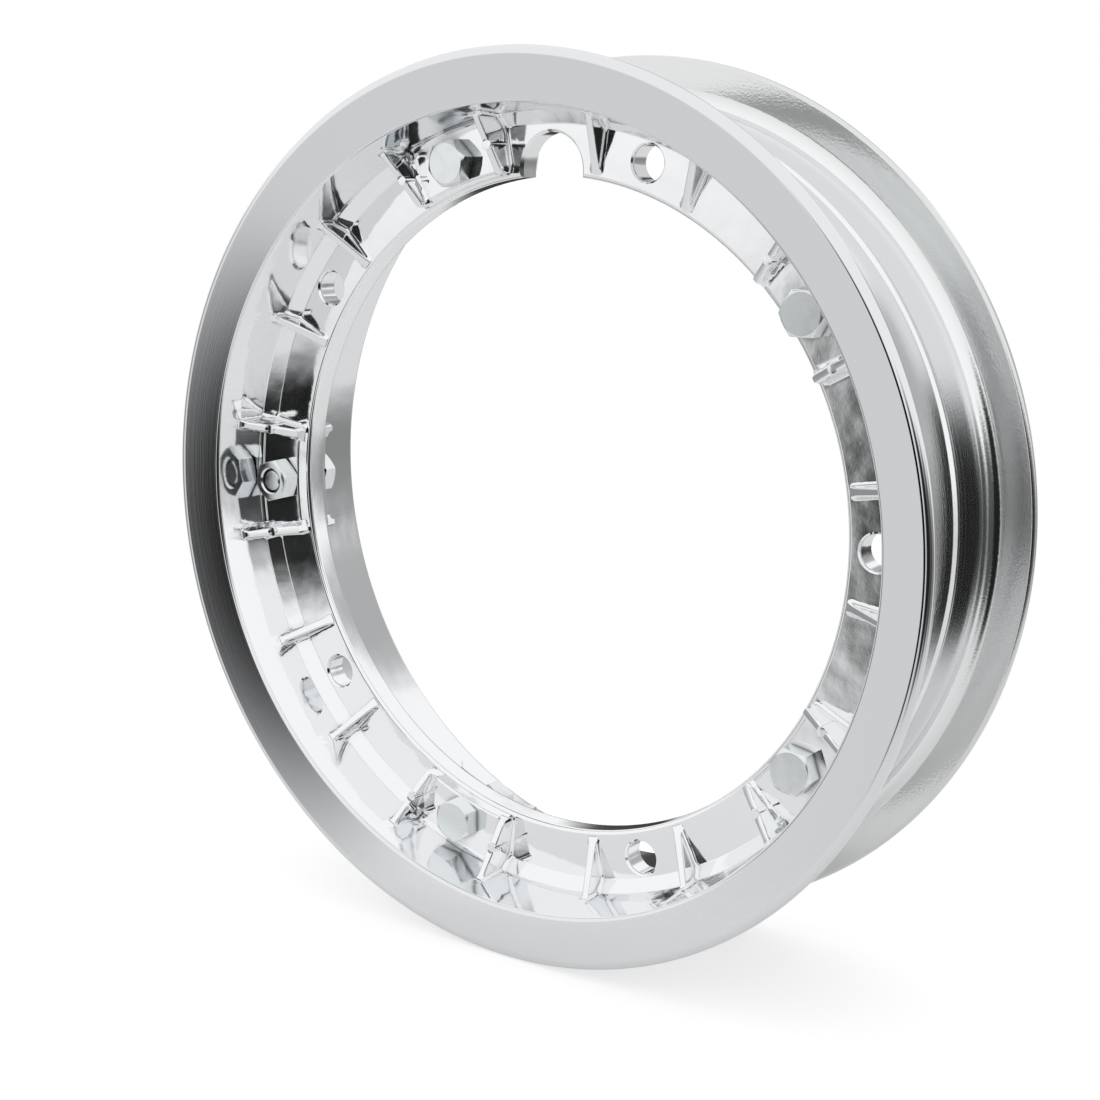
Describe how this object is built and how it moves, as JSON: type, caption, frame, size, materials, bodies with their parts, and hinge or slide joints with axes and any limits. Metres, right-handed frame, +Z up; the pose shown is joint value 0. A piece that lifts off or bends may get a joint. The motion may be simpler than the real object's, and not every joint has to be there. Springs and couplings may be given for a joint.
{
  "type": "split rim wheel",
  "caption": "Polished two-piece scooter rim: ribbed cast halves clamped at their webs by hex bolts, sealed by a rubber ring, with stud holes for the hub and a valve notch.",
  "frame": {"origin": "centre of the wheel: on the axle line, at the middle of the overall width", "axes": "+Y along the axle from the front lip to the rear lip, +Z up through the valve notch, +X to the right seen from the front"},
  "size_m": [0.28, 0.073, 0.28],
  "materials": {
    "cast_alloy": "polished casting with machined lips",
    "seal_rubber": "matt black",
    "zinc_steel": "bright zinc plate"
  },
  "bodies": {
    "root": {"front_half": "cast_alloy", "rear_half": "cast_alloy", "rim_seal": "seal_rubber", "clamp_bolts": "zinc_steel", "clamp_nuts": "zinc_steel"}
  },
  "joints": []
}
